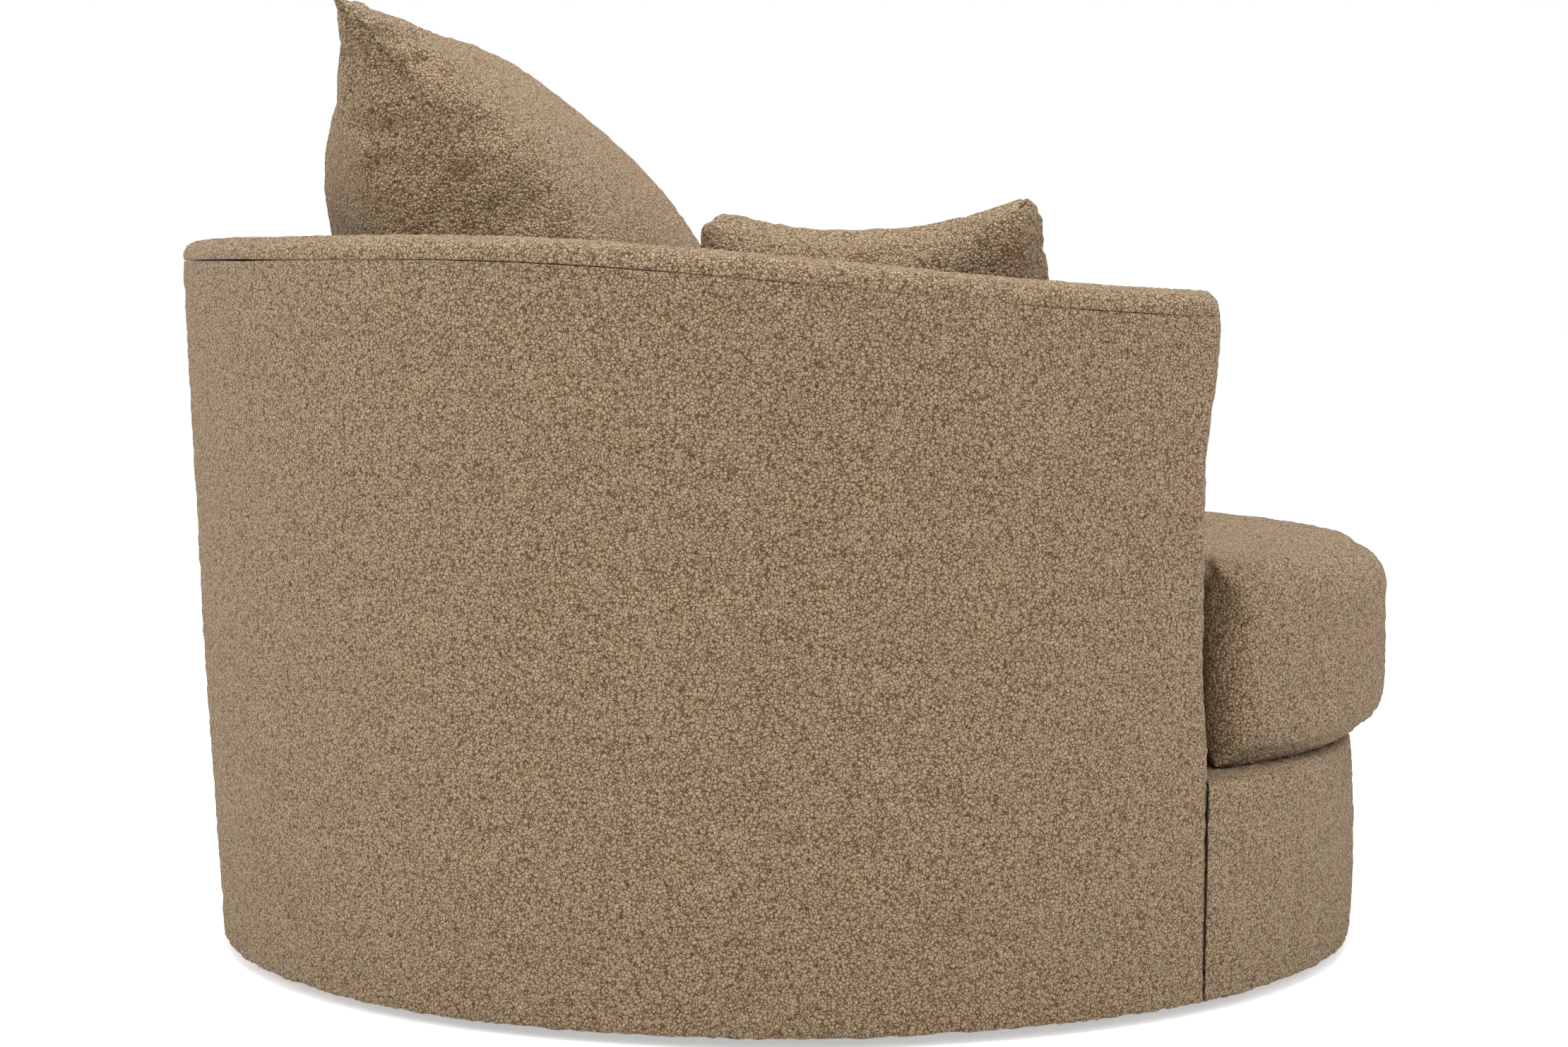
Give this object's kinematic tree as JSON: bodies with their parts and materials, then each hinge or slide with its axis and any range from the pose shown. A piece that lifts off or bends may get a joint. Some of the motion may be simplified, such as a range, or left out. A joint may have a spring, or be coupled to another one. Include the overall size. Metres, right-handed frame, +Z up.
{
  "type": "swivel cuddle chair",
  "caption": "Round swivel cuddle chair with tub arms and back, loose T-shaped seat cushion, large back cushion and scatter cushion, in textured upholstery.",
  "frame": {"origin": "on the floor, on the axis that the chair turns about", "axes": "+Z up, the chair's front faces -Y, and the sitter's left side is +X"},
  "size_m": [1.2562, 1.2663, 0.9793],
  "materials": {
    "boucle": "boucle upholstery fabric, looped taupe and beige yarn",
    "deck_cloth": "plain woven platform cloth",
    "dust_cloth": "black spunbond cloth",
    "plywood": "bare birch plywood",
    "black_steel": "black powder-coated steel",
    "zinc_steel": "bright zinc-plated steel",
    "black_plastic": "moulded black polypropylene"
  },
  "bodies": {
    "floor_base": {"floor_tube_long": "black_steel", "floor_tube_left": "black_steel", "floor_tube_right": "black_steel", "glide_1": "black_plastic", "glide_2": "black_plastic", "glide_3": "black_plastic", "glide_4": "black_plastic", "lower_swivel_plate": "black_steel", "lower_race": "zinc_steel", "centre_stud": "zinc_steel", "stud_washer": "zinc_steel", "stud_nut": "zinc_steel"},
    "ball_cage": {"ball_cage": "zinc_steel"},
    "chair": {"upper_race": "zinc_steel", "upper_swivel_plate": "black_steel", "deck_bolt_1": "zinc_steel", "deck_bolt_2": "zinc_steel", "deck_bolt_3": "zinc_steel", "deck_bolt_4": "zinc_steel", "base_board": "plywood", "bottom_rail": "plywood", "seat_ring": "plywood", "top_rail": "plywood", "back_rib_1": "plywood", "back_rib_2": "plywood", "back_rib_3": "plywood", "back_rib_4": "plywood", "back_rib_5": "plywood", "front_post_1": "plywood", "front_post_2": "plywood", "front_post_3": "plywood", "front_board": "plywood", "arm_panel_left": "plywood", "arm_panel_right": "plywood", "arm_facing_left": "boucle", "arm_facing_right": "boucle", "seat_spring_1": "black_steel", "seat_spring_2": "black_steel", "seat_spring_3": "black_steel", "seat_spring_4": "black_steel", "seat_spring_5": "black_steel", "rear_clip_1": "zinc_steel", "rear_clip_2": "zinc_steel", "rear_clip_3": "zinc_steel", "rear_clip_4": "zinc_steel", "rear_clip_5": "zinc_steel", "front_clip_1": "zinc_steel", "front_clip_2": "zinc_steel", "front_clip_3": "zinc_steel", "front_clip_4": "zinc_steel", "front_clip_5": "zinc_steel", "seat_deck": "deck_cloth", "dust_cloth": "dust_cloth", "outside_cover": "boucle", "inside_lining": "boucle", "rim": "boucle", "front_panel": "boucle"},
    "seat_cushion": {"seat_cushion": "boucle"},
    "back_cushion": {"back_cushion": "boucle"},
    "scatter_cushion": {"scatter_cushion": "boucle"}
  },
  "joints": [
    {"name": "swivel", "type": "hinge", "parent": "floor_base", "child": "chair", "pos_m": [0, 0, 0.04], "axis": [0, 0, 1], "continuous": true},
    {"name": "cage_turn", "type": "hinge", "parent": "floor_base", "child": "ball_cage", "pos_m": [0, 0, 0.04], "axis": [0, 0, 1], "continuous": true},
    {"name": "seat_cushion_lift", "type": "slide", "parent": "chair", "child": "seat_cushion", "axis": [0, 0, 1], "range_m": [0, 0.52]},
    {"name": "back_cushion_lift", "type": "slide", "parent": "seat_cushion", "child": "back_cushion", "axis": [0, 0, 1], "range_m": [0, 0.33]},
    {"name": "scatter_cushion_lift", "type": "slide", "parent": "back_cushion", "child": "scatter_cushion", "axis": [0, 0, 1], "range_m": [0, 0.33]}
  ],
  "couplings": [
    {"joint": "cage_turn", "follows": "swivel", "ratio": 0.5}
  ]
}
